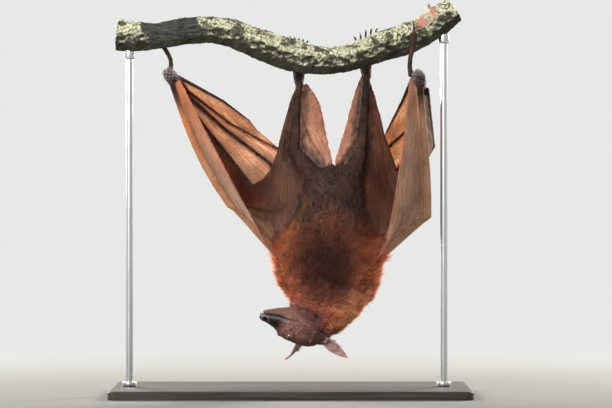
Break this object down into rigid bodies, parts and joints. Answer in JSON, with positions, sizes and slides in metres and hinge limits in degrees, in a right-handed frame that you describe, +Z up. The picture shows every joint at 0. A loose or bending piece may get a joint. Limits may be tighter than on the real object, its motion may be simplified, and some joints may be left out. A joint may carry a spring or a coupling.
{
  "type": "hanging large fruit bat on a perch",
  "caption": "Life-size fruit bat hanging head down from a short branch by its feet and thumbs, wings half folded, held on a flat base by upright rods.",
  "frame": {"origin": "middle of the stand's underside", "axes": "+Z up, the belly faces -Y, the bat's left wing is at -X and its right wing at +X"},
  "size_m": [0.5, 0.23, 0.5585],
  "materials": {
    "fur": "woolly dark red-brown coat",
    "ruff": "woolly rufous ruff, gold at its tips",
    "face": "short dark hair over greyish-purple skin",
    "limb_skin": "dark brown leathery skin",
    "wing": "thin veined membrane, lets light through",
    "ear": "thin bare skin with a pale rim",
    "claw": "smooth dark horn",
    "eye": "wet amber brown",
    "bark": "rough bark with pale crusty lichen",
    "stand_board": "satin black stained board",
    "stand_rod": "brushed"
  },
  "bodies": {
    "root": {"perch_branch": "bark", "stand_base": "stand_board", "stand_rod_left": "stand_rod", "stand_rod_right": "stand_rod", "eye_left": "eye", "eye_right": "eye", "jaw": "face", "head": "face", "neck": "ruff", "trunk": "fur", "ear_right": "ear", "ear_left": "ear", "claw_left_1": "claw", "claw_left_2": "claw", "claw_left_3": "claw", "claw_left_4": "claw", "claw_left_5": "claw", "foot_left": "limb_skin", "shin_left": "limb_skin", "thigh_left": "fur", "thumb_claw_left": "claw", "thumb_left": "limb_skin", "hand_left": "limb_skin", "forearm_left": "limb_skin", "upper_arm_left": "fur", "digit_2_left": "limb_skin", "digit_3_left": "limb_skin", "digit_4_left": "limb_skin", "digit_5_left": "limb_skin", "propatagium_left": "wing", "plagiopatagium_left": "wing", "hand_web_2_3_left": "wing", "hand_web_3_4_left": "wing", "hand_web_4_5_left": "wing", "uropatagium_left": "wing", "claw_right_1": "claw", "claw_right_2": "claw", "claw_right_3": "claw", "claw_right_4": "claw", "claw_right_5": "claw", "foot_right": "limb_skin", "shin_right": "limb_skin", "thigh_right": "fur", "thumb_claw_right": "claw", "thumb_right": "limb_skin", "hand_right": "limb_skin", "forearm_right": "limb_skin", "upper_arm_right": "fur", "digit_2_right": "limb_skin", "digit_3_right": "limb_skin", "digit_4_right": "limb_skin", "digit_5_right": "limb_skin", "propatagium_right": "wing", "plagiopatagium_right": "wing", "hand_web_2_3_right": "wing", "hand_web_3_4_right": "wing", "hand_web_4_5_right": "wing", "uropatagium_right": "wing"}
  },
  "joints": []
}
